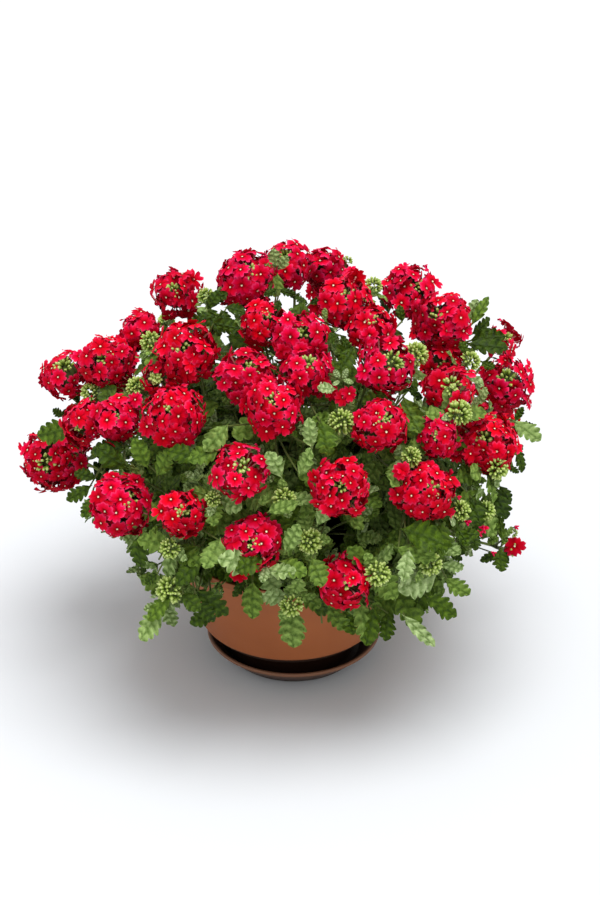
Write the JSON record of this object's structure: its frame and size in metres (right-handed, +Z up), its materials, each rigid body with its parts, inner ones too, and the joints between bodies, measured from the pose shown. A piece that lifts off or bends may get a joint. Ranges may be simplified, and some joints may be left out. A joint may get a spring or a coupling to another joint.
{
  "type": "potted garden verbena",
  "caption": "Bedding verbena in full bloom: a mound of leafy shoots with round red flower heads in a flared plastic bowl on its saucer.",
  "frame": {"origin": "centre of the saucer's flat underside, on the surface that the pot stands on", "axes": "+Z up, -Y towards the front view, +X to the right of the front view"},
  "size_m": [0.5137, 0.4393, 0.4317],
  "materials": {
    "plastic": "smooth terracotta-coloured plastic with a soft sheen",
    "soil": "dark crumbly potting soil",
    "foliage": "dull hairy leaves with sunken veins",
    "petals": "velvety scarlet petals with pale eyes"
  },
  "bodies": {
    "root": {"pot": "plastic", "saucer": "plastic", "soil": "soil", "head_01": "petals", "head_02": "petals", "head_03": "petals", "head_04": "petals", "head_05": "petals", "head_06": "petals", "head_07": "petals", "head_08": "petals", "head_09": "petals", "head_10": "petals", "head_11": "petals", "head_12": "petals", "head_13": "petals", "head_14": "petals", "head_15": "petals", "head_16": "petals", "head_17": "petals", "head_18": "petals", "head_19": "petals", "head_20": "petals", "head_21": "petals", "head_22": "petals", "head_23": "petals", "head_24": "petals", "head_25": "petals", "head_26": "petals", "head_27": "petals", "head_28": "petals", "head_29": "petals", "head_30": "petals", "head_31": "petals", "head_32": "petals", "head_33": "petals", "head_34": "petals", "head_35": "petals", "head_36": "petals", "head_37": "petals", "head_38": "petals", "head_39": "petals", "head_40": "petals", "head_41": "petals", "head_42": "petals", "head_43": "petals", "shoot_left": "foliage", "shoot_lowLeft": "foliage", "shoot_upperLeft": "foliage", "shoot_middle": "foliage", "shoot_upper": "foliage", "shoot_front": "foliage", "shoot_right": "foliage", "shoot_upperRight": "foliage", "shoot_lowRight": "foliage", "shoot_backLeft": "foliage", "shoot_backRight": "foliage"}
  },
  "joints": []
}
